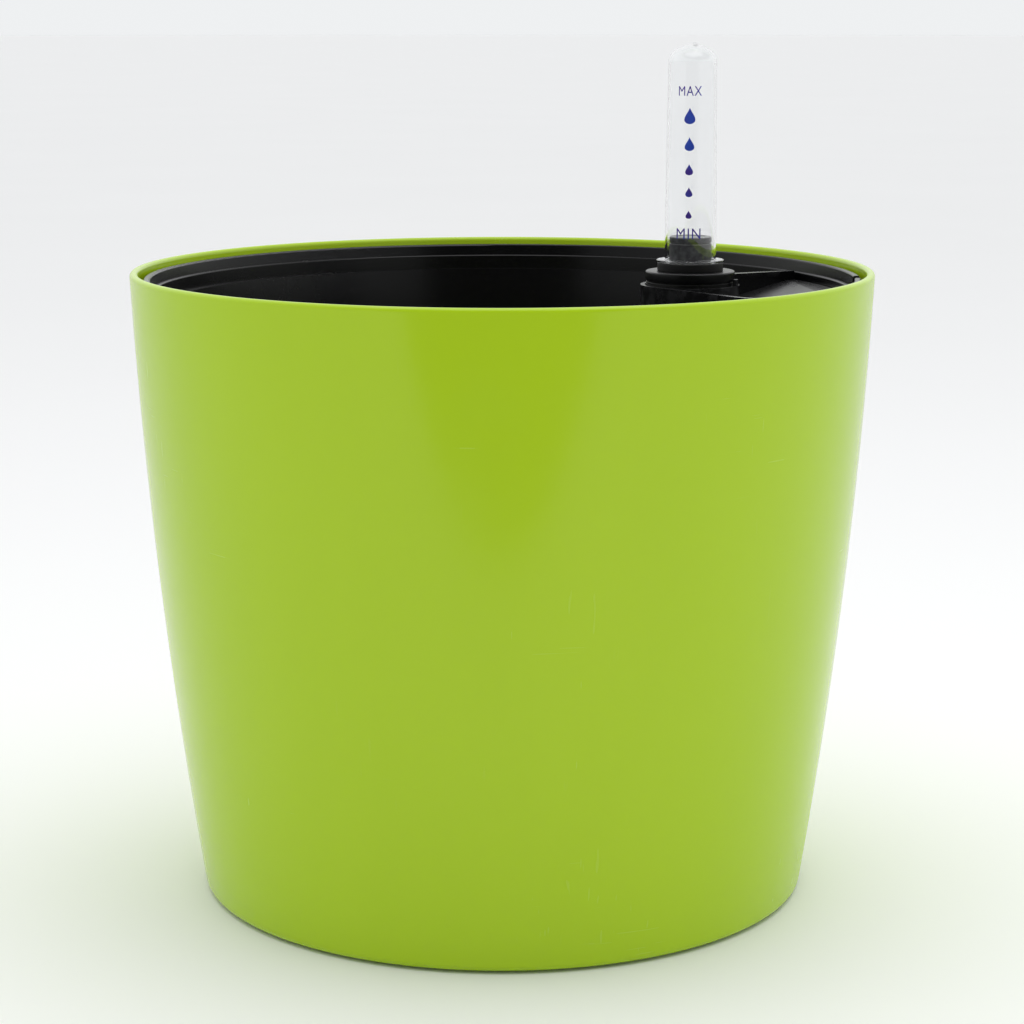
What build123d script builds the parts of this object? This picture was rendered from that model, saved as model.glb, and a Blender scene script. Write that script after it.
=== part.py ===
"""Round self watering planter: a tapered outer pot, a lift-out liner that stands in it over a water
reservoir, a filler hopper with its shaft, and a float gauge that shows the water level above the rim.

All sizes are in millimetres. The origin is the centre of the pot's foot and +Z is up. The gauge stands
at the back right, seen along +Y.
"""

from build123d import *

import math
import os

os.makedirs("parts", exist_ok=True)

# ---------------------------------------------------------------- outer pot
rim_radius = 100.0
side_taper = 17.0  # of the base's radius, in from the rim's
pot_height = 170.0
side_bulge = 2.3  # how far the side bows out past a straight taper
pot_wall = 2.2
foot_height = 0.6
foot_inset = 3.2  # from the bottom corner in to the foot ring
foot_width = 3.2
floor_thickness = 2.6
rim_round = 1.0
base_round = 2.0
floor_round = 4.0

# ---------------------------------------------------------------- drain plug
drain_radius = 6.0
plug_clearance = 0.05
plug_flange_width = 4.5
plug_flange_thickness = 2.0
plug_chamfer = 0.6
tab_length = 9.0
tab_thickness = 2.6
tab_height = 8.0
tab_round = 1.0
seal_thickness = 1.0
seal_inset = 0.4  # of the seal's edge under the plug's flange

# ---------------------------------------------------------------- liner
lip_drop = 1.9  # from the pot's rim down to the liner's lip
lip_gap = 1.4
lip_width = 1.7
lip_depth = 3.0
lip_round = 0.5
bead_drop = 3.1  # from the lip down to the small step inside it
bead_inset = 0.4
bead_width = 0.8
bead_round = 0.5
ledge_drop = 7.1  # from the lip down to the ledge that carries the hopper
ledge_inset = 0.3  # of the ledge's outer corner, in from the step above it
ledge_width = 2.2
liner_wall = 1.8
liner_round = 3.0
reservoir_depth = 49.8  # from the pot's floor to the liner's floor
liner_floor_thickness = 2.0
floor_gap = 8.0  # between liner and pot at the liner's floor
skirt_gap = 7.0  # between liner and pot at the pot's floor
skirt_band = 8.0  # left whole under the liner's floor, above the arches
arch_count = 6
arch_width = 50.0
arch_round = 12.0
air_hole_radius = 1.5
air_hole_count = 12
air_hole_inset = 8.0  # of the ring of air holes, in from the liner's wall
notch_angle = -30.4  # about the pot's axis, from the gauge round to the lifting notch in the lip
notch_width = 5.8
notch_depth = 1.6
seat_gap = 0.1  # left open where one lift-out piece rests on another

# ---------------------------------------------------------------- wick cups
cup_count = 3
cup_offset = 46.0
cup_radius = 14.6
cup_foot_radius = 11.5
cup_wall = 1.4
cup_flange_width = 2.4
cup_flange_thickness = 1.5
cup_floor_gap = 3.0
cup_clearance = 0.3
cup_slot_count = 10
cup_slot_width = 2.2
cup_slot_length = 32.0
cup_slot_rise = 4.0  # of the slots over the cup's floor
cup_hole_radius = 1.5
cup_hole_ring = 6.0
cup_hole_count = 6

# ---------------------------------------------------------------- filler hopper and shaft
gauge_azimuth = 26.6
socket_drop = 7.2  # from the pot's rim down to the top of the gauge socket
socket_overhang = 1.7  # of the socket past the shaft
socket_wall = 1.2
socket_depth = 2.4
throat_length = 6.0
shaft_radius = 12.2
shaft_to_ledge = 19.9  # from the shaft's side out to the liner's ledge
shaft_wall = 1.3
shaft_grip = 8.0  # how deep the shaft stands in the hopper
shaft_flange_width = 2.8
shaft_flange_thickness = 1.5
shaft_hole_clearance = 0.3
shaft_floor_gap = 4.0
shaft_slot_count = 4
shaft_slot_width = 4.0
shaft_slot_length = 34.0
shaft_slot_rise = 3.0
fit_gap = 0.1
hopper_wall = 1.6
hopper_slope = 13.2
hopper_spread = 12.0  # how far the front wall leans away from square to the arm
hopper_reach = 36.0  # length of the front wall's straight stretch
hopper_span = 38.4  # angle about the pot's axis from the arm round to the hopper's far end
hopper_corner = 14.0
hopper_gap = 0.4  # between the hopper and the liner's wall
arm_width = 2.4
arm_rise = 2.4  # of the arm over the socket
pip_angle = -48.4  # about the gauge's axis, from the arm round to the locating pip
pip_width = 1.4
pip_rise = 1.8  # of the pip over the socket
window_angle = -100.0  # from the arm round to the middle of the inlet window
window_width = 14.0
window_sill = 0.2
window_head = 0.8

# ---------------------------------------------------------------- gauge
disc_clearance = 0.2  # of the disc, in from the socket's bore
disc_thickness = 2.6
disc_rise = 1.5  # of the disc's top over the hopper's arm
groove_depth = 0.4
groove_width = 0.4
plinth_clearance = 0.4  # of the plinth, in from the socket's bore
neck_wall = 1.4
shelf_rise = 0.4  # of the shelf inside the base over the base's underside
shelf_thickness = 1.6
shelf_bore = 5.2
gasket_thickness = 1.0
gasket_inset = 0.2
grommet_lip = 0.85  # of the grommet past its sleeve
grommet_height = 2.4
grommet_sleeve_wall = 1.0
grommet_sleeve_length = 1.6
guide_radius = 8.4
guide_wall = 1.0
guide_grip = 10.0
guide_slot_count = 4
guide_slot_width = 2.2
guide_slot_length = 62.0
guide_slot_rise = 4.0
guide_floor_gap = 0.5
guide_foot_thickness = 0.8
guide_plug_height = 2.5
guide_plug_wall = 1.0
guide_hole_radius = 1.1
guide_hole_ring = 3.9
guide_hole_count = 6
rod_guide_thickness = 1.5
tube_radius = 7.25
tube_taper = 0.55  # of the tube's radius, from its flange up to its dome
tube_wall = 0.6
tube_flange_overhang = 0.25  # past the grommet
tube_flange_thickness = 0.6
tube_height = 59.3  # from the flange's top to the top of the dome
tube_end_gap = 0.2
crown_radius = 8.8  # of the curve over the tube's top
dome_round = 4.0
nub_radius = 0.7
nub_height = 0.5
nub_offset = 0.6

# ---------------------------------------------------------------- float
float_clearance = 0.7
float_height = 28.0
float_round = 1.2
rod_radius = 1.25
rod_clearance = 0.25
rod_grip = 0.03
rod_head_radius = 3.2
rod_head_height = 1.4
clip_radius = 3.4
clip_height = 2.0
marker_clearance = 0.2
marker_height = 12.0
marker_rise = 6.5  # of the marker over the tube's flange when the reservoir is empty
marker_round = 0.5
marker_grip = 8.0


# ---------------------------------------------------------------- worked out from the sizes above
base_radius = rim_radius - side_taper


def circle_of_side():
    """Centre (radius, height) and radius of the circle that the pot's outside follows."""
    run, rise = rim_radius - base_radius, pot_height - foot_height
    chord = math.hypot(run, rise)
    radius = (chord**2 / 4 + side_bulge**2) / (2 * side_bulge)
    inward = radius - side_bulge
    middle_r = (rim_radius + base_radius) / 2
    middle_z = (pot_height + foot_height) / 2
    return middle_r - inward * rise / chord, middle_z + inward * run / chord, radius


side_centre_r, side_centre_z, side_circle = circle_of_side()


def side_radius(z, depth=0.0):
    """Radius of the pot at height z, at this depth into its wall."""
    return side_centre_r + math.sqrt((side_circle - depth) ** 2 - (z - side_centre_z) ** 2)


floor_top = foot_height + floor_thickness
middle_height = (pot_height + floor_top) / 2
foot_outer = base_radius - foot_inset

seal_foot = floor_top + seat_gap
plug_flange_foot = seal_foot + seal_thickness
plug_flange_radius = drain_radius + plug_flange_width

lip_top = pot_height - lip_drop
lip_foot = lip_top - lip_depth
lip_outer = side_radius(lip_top, pot_wall) - lip_gap
lip_inner = lip_outer - lip_width
bead_z = lip_top - bead_drop
bead_outer = lip_inner - bead_inset
bead_inner = bead_outer - bead_width
ledge_z = lip_top - ledge_drop
ledge_foot = ledge_z - liner_wall
ledge_outer = bead_inner - ledge_inset
ledge_inner = ledge_outer - ledge_width
liner_floor = floor_top + reservoir_depth
liner_floor_top = liner_floor + liner_floor_thickness
floor_outer = side_radius(liner_floor, pot_wall) - floor_gap
floor_inner = floor_outer - liner_wall
skirt_outer = side_radius(floor_top, pot_wall) - skirt_gap
skirt_foot = floor_top + seat_gap
arch_foot = skirt_foot - 1.0
arch_top = liner_floor - skirt_band

cup_foot = floor_top + cup_floor_gap
cup_floor = cup_foot + cup_wall
cup_brim = liner_floor_top + cup_flange_thickness

gauge_offset = ledge_inner - shaft_to_ledge - shaft_radius
gauge_x = gauge_offset * math.cos(math.radians(gauge_azimuth))
gauge_y = gauge_offset * math.sin(math.radians(gauge_azimuth))

socket_radius = shaft_radius + socket_overhang
socket_top = pot_height - socket_drop
socket_bore = socket_radius - socket_wall
socket_seat = socket_top - socket_depth
throat_foot = socket_seat - throat_length
shaft_bore = shaft_radius - shaft_wall
hopper_foot = throat_foot - shaft_grip
arm_top = socket_top + arm_rise
hopper_edge = ledge_z + seat_gap
hopper_brim = hopper_edge + hopper_wall
hopper_radius = ledge_inner - hopper_gap
brim_radius = ledge_outer - hopper_gap
shaft_foot = floor_top + shaft_floor_gap

gasket_foot = socket_seat + seat_gap
base_foot = gasket_foot + gasket_thickness
disc_radius = socket_bore - disc_clearance
disc_top = arm_top + disc_rise
disc_foot = disc_top - disc_thickness
grommet_foot = disc_top - grommet_sleeve_length
grommet_top = disc_top + grommet_height
flange_foot = grommet_top + seat_gap
flange_top = flange_foot + tube_flange_thickness
tube_seat = tube_radius + fit_gap
tube_top_radius = tube_radius - tube_taper
grommet_sleeve = tube_seat + grommet_sleeve_wall
grommet_radius = grommet_sleeve + grommet_lip
tube_flange_radius = grommet_radius + tube_flange_overhang
shelf_top = base_foot + shelf_rise
shelf_foot = shelf_top - shelf_thickness
neck_foot = shelf_foot - guide_grip
guide_seat = guide_radius + fit_gap
neck_radius = guide_seat + neck_wall
plinth_radius = socket_bore - plinth_clearance
rod_guide_top = shelf_top + rod_guide_thickness
tube_foot = rod_guide_top + tube_end_gap
guide_bore = guide_radius - guide_wall
strainer_foot = floor_top + guide_floor_gap
guide_foot = strainer_foot + guide_foot_thickness
strainer_top = guide_foot + guide_plug_height
dome_top = flange_top + tube_height

float_foot = strainer_top + seat_gap
float_top = float_foot + float_height
float_radius = guide_bore - float_clearance
marker_top = flange_top + marker_rise
marker_foot = marker_top - marker_height
marker_radius = tube_top_radius - tube_wall - marker_clearance
rod_top = marker_foot + marker_grip

gauge_centre = (gauge_x, gauge_y)
gauge_axis = Axis((*gauge_centre, 0), (0, 0, 1))
gauge_section = Plane(origin=(*gauge_centre, 0), x_dir=(1, 0, 0), z_dir=(0, -1, 0))
# The gauge's own frame has its origin on the gauge's axis and +X pointing away from the pot's axis.
gauge_frame = Plane(origin=(*gauge_centre, 0), x_dir=(gauge_x, gauge_y, 0), z_dir=(0, 0, 1))


def finish(piece, name):
    """Labels a finished piece and writes its STEP file."""
    piece.part.label = name
    export_step(piece.part, f"parts/{name}.step")


def crown_drop(reach, radius):
    """How far a curve of this radius falls from its top at this distance from the axis."""
    return radius - math.sqrt(radius**2 - reach**2)


def outward(angle, height=0.0, centre=(0.0, 0.0)):
    """Upright plane through a vertical axis, facing out at this angle, with its own Y pointing up."""
    turn = math.radians(angle)
    across = (-math.sin(turn), math.cos(turn), 0)
    out = (math.cos(turn), math.sin(turn), 0)
    return Plane(origin=(*centre, height), x_dir=across, z_dir=out)


def around(count, height=0.0, centre=(0.0, 0.0), start=0.0):
    """Upright planes spread evenly about a vertical axis."""
    return [outward(start + turn * 360 / count, height, centre) for turn in range(count)]


def corner(sketch, point):
    """The sketch's corner nearest to this point."""
    return sketch.vertices().sort_by_distance(point)[0]


# ---------------------------------------------------------------- outer pot
with BuildPart() as outer_pot:
    with BuildSketch(Plane.XZ) as pot_section:
        with BuildLine():
            Polyline(
                (side_radius(floor_top, pot_wall), floor_top),
                (drain_radius, floor_top),
                (drain_radius, foot_height),
                (foot_outer - foot_width, foot_height),
                (foot_outer - foot_width, 0),
                (foot_outer, 0),
                (foot_outer, foot_height),
                (base_radius, foot_height),
            )
            ThreePointArc(
                (base_radius, foot_height),
                (side_radius(middle_height), middle_height),
                (rim_radius, pot_height),
            )
            Line((rim_radius, pot_height), (side_radius(pot_height, pot_wall), pot_height))
            ThreePointArc(
                (side_radius(pot_height, pot_wall), pot_height),
                (side_radius(middle_height, pot_wall), middle_height),
                (side_radius(floor_top, pot_wall), floor_top),
            )
        make_face()
        fillet(corner(pot_section, (rim_radius, pot_height)), rim_round)
        fillet(corner(pot_section, (side_radius(pot_height, pot_wall), pot_height)), rim_round)
        fillet(corner(pot_section, (base_radius, foot_height)), base_round)
        fillet(corner(pot_section, (side_radius(floor_top, pot_wall), floor_top)), floor_round)
    revolve(axis=Axis.Z)
finish(outer_pot, "outer_pot")

# ---------------------------------------------------------------- drain plug and its seal
with BuildPart() as drain_plug:
    with BuildSketch(Plane.XY.offset(foot_height)):
        Circle(drain_radius - plug_clearance)
    extrude(amount=plug_flange_foot - foot_height)
    chamfer(drain_plug.faces().sort_by(Axis.Z)[0].edges(), plug_chamfer)
    with BuildSketch(Plane.XY.offset(plug_flange_foot)):
        Circle(plug_flange_radius)
    extrude(amount=plug_flange_thickness)
    chamfer(drain_plug.faces().sort_by(Axis.Z)[-1].edges(), plug_chamfer)
    with BuildSketch(Plane.XY.offset(plug_flange_foot + plug_flange_thickness)):
        RectangleRounded(tab_length, tab_thickness, tab_round)
    extrude(amount=tab_height)
finish(drain_plug, "drain_plug")

with BuildPart() as drain_plug_seal:
    with BuildSketch(Plane.XY.offset(seal_foot)):
        Circle(plug_flange_radius - seal_inset)
        Circle(drain_radius + plug_clearance, mode=Mode.SUBTRACT)
    extrude(amount=seal_thickness)
finish(drain_plug_seal, "drain_plug_seal")

# ---------------------------------------------------------------- liner
cup_angles = [gauge_azimuth + (turn + 0.5) * 360 / cup_count for turn in range(cup_count)]
cup_centres = [
    (cup_offset * math.cos(math.radians(angle)), cup_offset * math.sin(math.radians(angle)))
    for angle in cup_angles
]
first_arch = gauge_azimuth + 180 / arch_count
first_air_hole = gauge_azimuth + 180 / air_hole_count

with BuildPart() as inner_liner:
    with BuildSketch(Plane.XZ) as liner_section:
        Polygon(
            (0, liner_floor),
            (floor_inner, liner_floor),
            (skirt_outer - liner_wall, skirt_foot),
            (skirt_outer, skirt_foot),
            (floor_outer, liner_floor),
            (ledge_inner + liner_wall, ledge_foot),
            (ledge_outer + liner_wall, ledge_foot),
            (bead_outer + liner_wall, lip_foot),
            (lip_outer, lip_foot),
            (lip_outer, lip_top),
            (lip_inner, lip_top),
            (bead_outer, bead_z),
            (bead_inner, bead_z),
            (ledge_outer, ledge_z),
            (ledge_inner, ledge_z),
            (floor_inner, liner_floor_top),
            (0, liner_floor_top),
            align=None,
        )
        fillet(corner(liner_section, (lip_outer, lip_top)), lip_round)
        fillet(corner(liner_section, (lip_inner, lip_top)), lip_round)
        fillet(corner(liner_section, (bead_inner, bead_z)), bead_round)
        fillet(corner(liner_section, (floor_inner, liner_floor_top)), liner_round)
    revolve(axis=Axis.Z)
    # Arches through the skirt leave the legs that the liner stands on.
    with BuildSketch(*around(arch_count, start=first_arch)) as arches:
        with Locations((0, arch_foot)):
            Rectangle(arch_width, arch_top - arch_foot, align=(Align.CENTER, Align.MIN))
        fillet(arches.vertices().group_by(Axis.Y)[-1], arch_round)
    extrude(amount=rim_radius, mode=Mode.SUBTRACT)
    # Openings in the floor for the wick cups, the filler shaft and air.
    with Locations(*[(x, y, liner_floor_top) for x, y in cup_centres]):
        Hole(cup_radius + cup_clearance, depth=liner_floor_thickness)
    with Locations((*gauge_centre, liner_floor_top)):
        Hole(shaft_radius + shaft_hole_clearance, depth=liner_floor_thickness)
    with Locations(Plane.XY.offset(liner_floor_top)):
        with PolarLocations(floor_inner - air_hole_inset, air_hole_count, first_air_hole):
            Hole(air_hole_radius, depth=liner_floor_thickness)
    # Notch in the lip, where a finger nail lifts the liner.
    with BuildSketch(outward(gauge_azimuth + notch_angle, lip_top)):
        Rectangle(notch_width, notch_depth, align=(Align.CENTER, Align.MAX))
    extrude(amount=rim_radius, mode=Mode.SUBTRACT)
finish(inner_liner, "inner_liner")

# ---------------------------------------------------------------- wick cups
for number, (angle, centre) in enumerate(zip(cup_angles, cup_centres), 1):
    with BuildPart() as wick_cup:
        with BuildSketch(Plane(origin=(*centre, 0), x_dir=(1, 0, 0), z_dir=(0, -1, 0))):
            Polygon(
                (0, cup_foot),
                (cup_foot_radius, cup_foot),
                (cup_radius, liner_floor_top),
                (cup_radius + cup_flange_width, liner_floor_top),
                (cup_radius + cup_flange_width, cup_brim),
                (cup_radius - cup_wall, cup_brim),
                (cup_foot_radius - cup_wall, cup_floor),
                (0, cup_floor),
                align=None,
            )
        revolve(axis=Axis((*centre, 0), (0, 0, 1)))
        slot_middle = cup_floor + cup_slot_rise + cup_slot_length / 2
        with BuildSketch(*around(cup_slot_count, slot_middle, centre, angle)):
            SlotOverall(cup_slot_length, cup_slot_width, rotation=90)
        extrude(amount=cup_radius + cup_wall, mode=Mode.SUBTRACT)
        with Locations((*centre, cup_floor)):
            with PolarLocations(cup_hole_ring, cup_hole_count, angle):
                Hole(cup_hole_radius, depth=cup_wall)
    finish(wick_cup, f"wick_cup_{number}")


# ---------------------------------------------------------------- filler hopper
def from_pot_axis(radius, angle):
    """Point in the gauge's frame at this radius and angle about the pot's axis."""
    turn = math.radians(angle)
    return radius * math.cos(turn) - gauge_offset, radius * math.sin(turn)


lean = math.radians(hopper_spread)
front_start = (-socket_radius * math.cos(lean), -socket_radius * math.sin(lean))
front_end = (
    front_start[0] + hopper_reach * math.sin(lean),
    front_start[1] - hopper_reach * math.cos(lean),
)
arm_turn = math.degrees(math.asin(arm_width / 2 / hopper_radius))
arm_end = brim_radius * math.cos(math.radians(arm_turn)) - gauge_offset

with BuildSketch() as hopper_plan:
    with BuildLine():
        Polyline(
            from_pot_axis(hopper_radius, arm_turn),
            (0, arm_width / 2),
            front_start,
            front_end,
            from_pot_axis(hopper_radius, -hopper_span),
        )
        ThreePointArc(
            from_pot_axis(hopper_radius, -hopper_span),
            from_pot_axis(hopper_radius, -hopper_span / 2),
            from_pot_axis(hopper_radius, arm_turn),
        )
    make_face()
    fillet(corner(hopper_plan, front_end), hopper_corner)

with BuildSketch() as tray_plan:
    add(hopper_plan.sketch)
    offset(amount=-hopper_wall)
    Circle(socket_radius, mode=Mode.SUBTRACT)
    with Locations((0, -arm_width / 2)):
        Rectangle(rim_radius, arm_width * 2, align=(Align.MIN, Align.MIN), mode=Mode.SUBTRACT)

# The tray's floor rises from the shaft to the middle of the hopper's edge along the liner's wall.
rise_azimuth = math.radians(gauge_azimuth - hopper_span / 2)
slope = math.radians(hopper_slope)
arm_foot = gauge_frame.from_local_coords(Vector(*from_pot_axis(hopper_radius, 0), hopper_brim))
tray_floor = Plane(
    origin=arm_foot,
    z_dir=(
        -math.sin(slope) * math.cos(rise_azimuth),
        -math.sin(slope) * math.sin(rise_azimuth),
        math.cos(slope),
    ),
)

with BuildPart() as tray_space:
    with BuildSketch(gauge_frame.offset(hopper_foot)):
        add(tray_plan.sketch)
    extrude(amount=pot_height - hopper_foot)
    split(bisect_by=tray_floor, keep=Keep.TOP)

with BuildPart() as filler_hopper:
    with BuildSketch(gauge_frame.offset(hopper_foot)):
        add(hopper_plan.sketch)
    extrude(amount=hopper_brim - hopper_foot)
    # The front wall is as high as the socket. Along the liner's wall the hopper ends at its brim.
    with BuildSketch(gauge_frame.offset(hopper_brim)):
        add(hopper_plan.sketch)
        with Locations((-gauge_offset, 0)):
            Circle(hopper_radius - hopper_wall, mode=Mode.INTERSECT)
    extrude(amount=socket_top - hopper_brim)
    split(bisect_by=tray_floor.offset(-hopper_wall), keep=Keep.TOP)
    add(tray_space.part, mode=Mode.SUBTRACT)
    # The brim lies on the liner's ledge.
    with BuildSketch(gauge_frame.offset(hopper_edge)):
        with BuildLine():
            Line(
                from_pot_axis(hopper_radius - hopper_wall, -hopper_span),
                from_pot_axis(brim_radius, -hopper_span),
            )
            ThreePointArc(
                from_pot_axis(brim_radius, -hopper_span),
                from_pot_axis(brim_radius, -hopper_span / 2),
                from_pot_axis(brim_radius, arm_turn),
            )
            Line(
                from_pot_axis(brim_radius, arm_turn),
                from_pot_axis(hopper_radius - hopper_wall, arm_turn),
            )
            ThreePointArc(
                from_pot_axis(hopper_radius - hopper_wall, arm_turn),
                from_pot_axis(hopper_radius - hopper_wall, -hopper_span / 2),
                from_pot_axis(hopper_radius - hopper_wall, -hopper_span),
            )
        make_face()
    extrude(amount=hopper_wall)
    # Socket for the gauge, arm out to the liner's wall, and the bores through the socket.
    with BuildSketch(gauge_frame.offset(hopper_foot)):
        Circle(socket_radius)
    extrude(amount=socket_top - hopper_foot)
    with BuildSketch(gauge_frame.offset(hopper_edge)):
        with Locations((0, -arm_width / 2)):
            Rectangle(arm_end, arm_width, align=(Align.MIN, Align.MIN))
    extrude(amount=arm_top - hopper_edge)
    with Locations((*gauge_centre, arm_top)):
        Hole(socket_bore, depth=arm_top - socket_seat)
    with Locations((*gauge_centre, socket_seat)):
        Hole(shaft_bore, depth=throat_length)
    with Locations((*gauge_centre, throat_foot)):
        Hole(shaft_radius + fit_gap, depth=shaft_grip)
    # Window from the tray into the shaft.
    with BuildSketch(outward(gauge_azimuth + window_angle, throat_foot + window_sill, gauge_centre)):
        Rectangle(
            window_width,
            throat_length - window_sill - window_head,
            align=(Align.CENTER, Align.MIN),
        )
    extrude(amount=socket_radius, mode=Mode.SUBTRACT)
    # Pip on the socket's rim that shows which way round the gauge goes in.
    with BuildSketch(outward(gauge_azimuth + pip_angle, socket_top, gauge_centre).offset(socket_bore)):
        Rectangle(pip_width, pip_rise, align=(Align.CENTER, Align.MIN))
    extrude(amount=socket_wall)
finish(filler_hopper, "filler_hopper")

# ---------------------------------------------------------------- filler shaft
with BuildPart() as filler_shaft:
    with BuildSketch(gauge_section):
        Polygon(
            (shaft_bore, shaft_foot),
            (shaft_radius, shaft_foot),
            (shaft_radius, liner_floor_top),
            (shaft_radius + shaft_flange_width, liner_floor_top),
            (shaft_radius + shaft_flange_width, liner_floor_top + shaft_flange_thickness),
            (shaft_radius, liner_floor_top + shaft_flange_thickness),
            (shaft_radius, throat_foot),
            (shaft_bore, throat_foot),
            align=None,
        )
    revolve(axis=gauge_axis)
    slot_middle = shaft_foot + shaft_slot_rise + shaft_slot_length / 2
    with BuildSketch(*around(shaft_slot_count, slot_middle, gauge_centre, gauge_azimuth)):
        SlotOverall(shaft_slot_length, shaft_slot_width, rotation=90)
    extrude(amount=2 * shaft_radius, mode=Mode.SUBTRACT)
finish(filler_shaft, "filler_shaft")

# ---------------------------------------------------------------- gauge base and its seals
with BuildPart() as gauge_base:
    with BuildSketch(gauge_section):
        Polygon(
            (tube_seat, grommet_foot),
            (grommet_sleeve + fit_gap, grommet_foot),
            (grommet_sleeve + fit_gap, disc_top),
            (disc_radius, disc_top),
            (disc_radius, disc_foot),
            (disc_radius - groove_depth, disc_foot),
            (disc_radius - groove_depth, disc_foot - groove_width),
            (plinth_radius, disc_foot - groove_width),
            (plinth_radius, base_foot),
            (neck_radius, base_foot),
            (neck_radius, neck_foot),
            (guide_seat, neck_foot),
            (guide_seat, shelf_foot),
            (shelf_bore, shelf_foot),
            (shelf_bore, shelf_top),
            (tube_seat, shelf_top),
            align=None,
        )
    revolve(axis=gauge_axis)
finish(gauge_base, "gauge_base")

with BuildPart() as gauge_gasket:
    with BuildSketch(gauge_frame.offset(gasket_foot)):
        Circle(plinth_radius)
        Circle(neck_radius + gasket_inset, mode=Mode.SUBTRACT)
    extrude(amount=gasket_thickness)
finish(gauge_gasket, "gauge_gasket")

with BuildPart() as tube_grommet:
    with BuildSketch(gauge_section):
        Polygon(
            (tube_seat, grommet_foot),
            (grommet_sleeve, grommet_foot),
            (grommet_sleeve, disc_top),
            (grommet_radius, disc_top),
            (grommet_radius, grommet_top),
            (tube_seat, grommet_top),
            align=None,
        )
    revolve(axis=gauge_axis)
finish(tube_grommet, "tube_grommet")

with BuildPart() as rod_guide:
    with BuildSketch(gauge_frame.offset(shelf_top)):
        Circle(tube_seat - fit_gap)
        Circle(rod_radius + rod_clearance, mode=Mode.SUBTRACT)
    extrude(amount=rod_guide_thickness)
finish(rod_guide, "rod_guide")

# ---------------------------------------------------------------- float's guide tube and its foot
with BuildPart() as guide_tube:
    with BuildSketch(gauge_frame.offset(guide_foot)):
        Circle(guide_radius)
        Circle(guide_bore, mode=Mode.SUBTRACT)
    extrude(amount=shelf_foot - guide_foot)
    slot_middle = guide_foot + guide_plug_height + guide_slot_rise + guide_slot_length / 2
    with BuildSketch(*around(guide_slot_count, slot_middle, gauge_centre, gauge_azimuth)):
        SlotOverall(guide_slot_length, guide_slot_width, rotation=90)
    extrude(amount=2 * guide_radius, mode=Mode.SUBTRACT)
finish(guide_tube, "guide_tube")

with BuildPart() as guide_strainer:
    with BuildSketch(gauge_section):
        plug_radius = guide_bore - fit_gap
        Polygon(
            (0, strainer_foot),
            (guide_radius, strainer_foot),
            (guide_radius, guide_foot),
            (plug_radius, guide_foot),
            (plug_radius, strainer_top),
            (plug_radius - guide_plug_wall, strainer_top),
            (plug_radius - guide_plug_wall, guide_foot),
            (0, guide_foot),
            align=None,
        )
    revolve(axis=gauge_axis)
    with Locations((*gauge_centre, guide_foot)):
        with PolarLocations(guide_hole_ring, guide_hole_count, gauge_azimuth):
            Hole(guide_hole_radius, depth=guide_foot_thickness)
finish(guide_strainer, "guide_strainer")

# ---------------------------------------------------------------- clear sight tube
tube_top_bore = tube_top_radius - tube_wall
inner_crown = crown_radius - tube_wall
shoulder = (tube_top_radius, dome_top - crown_drop(tube_top_radius, crown_radius))
inner_shoulder = (tube_top_bore, dome_top - tube_wall - crown_drop(tube_top_bore, inner_crown))

with BuildPart() as sight_tube:
    with BuildSketch(gauge_section) as tube_section:
        with BuildLine():
            Line((0, dome_top - tube_wall), (0, dome_top))
            RadiusArc((0, dome_top), shoulder, crown_radius)
            Polyline(
                shoulder,
                (tube_radius, flange_top),
                (tube_flange_radius, flange_top),
                (tube_flange_radius, flange_foot),
                (tube_radius, flange_foot),
                (tube_radius, tube_foot),
                (tube_radius - tube_wall, tube_foot),
                (tube_radius - tube_wall, flange_top),
                inner_shoulder,
            )
            RadiusArc((0, dome_top - tube_wall), inner_shoulder, inner_crown)
        make_face()
        fillet(corner(tube_section, shoulder), dome_round)
        fillet(corner(tube_section, inner_shoulder), dome_round - tube_wall)
    revolve(axis=gauge_axis)
    # Gate mark left by moulding, a little to one side of the dome's top.
    with BuildSketch(Plane.XY.offset(dome_top - tube_wall / 2)):
        with Locations((gauge_x + nub_offset, gauge_y)):
            Circle(nub_radius)
    extrude(amount=tube_wall / 2 + nub_height)
finish(sight_tube, "sight_tube")

# ---------------------------------------------------------------- float, rod and marker
with BuildPart() as float_body:
    with BuildSketch(gauge_frame.offset(float_foot)):
        Circle(float_radius)
    extrude(amount=float_height)
    fillet(float_body.edges().filter_by(GeomType.CIRCLE), float_round)
    with Locations((*gauge_centre, float_top)):
        Hole(rod_radius + rod_grip, depth=float_height)
finish(float_body, "float_body")

with BuildPart() as float_rod:
    with BuildSketch(gauge_frame.offset(float_foot - rod_head_height)):
        Circle(rod_head_radius)
    extrude(amount=rod_head_height)
    with BuildSketch(gauge_frame.offset(float_foot)):
        Circle(rod_radius)
    extrude(amount=rod_top - float_foot)
finish(float_rod, "float_rod")

with BuildPart() as float_clip:
    with BuildSketch(gauge_frame.offset(float_top)):
        Circle(clip_radius)
        Circle(rod_radius + rod_grip, mode=Mode.SUBTRACT)
    extrude(amount=clip_height)
finish(float_clip, "float_clip")

with BuildPart() as level_marker:
    with BuildSketch(gauge_frame.offset(marker_foot)):
        Circle(marker_radius)
    extrude(amount=marker_height)
    fillet(level_marker.edges().filter_by(GeomType.CIRCLE), marker_round)
    with Locations((*gauge_centre, rod_top)):
        Hole(rod_radius + rod_grip, depth=marker_grip)
finish(level_marker, "level_marker")
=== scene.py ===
"""Looks of the self watering planter: a glossy lime pot, its black liner with the filler hopper, and the
clear float gauge. Lengths are in metres and every piece is in the planter's own frame."""
import math

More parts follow.
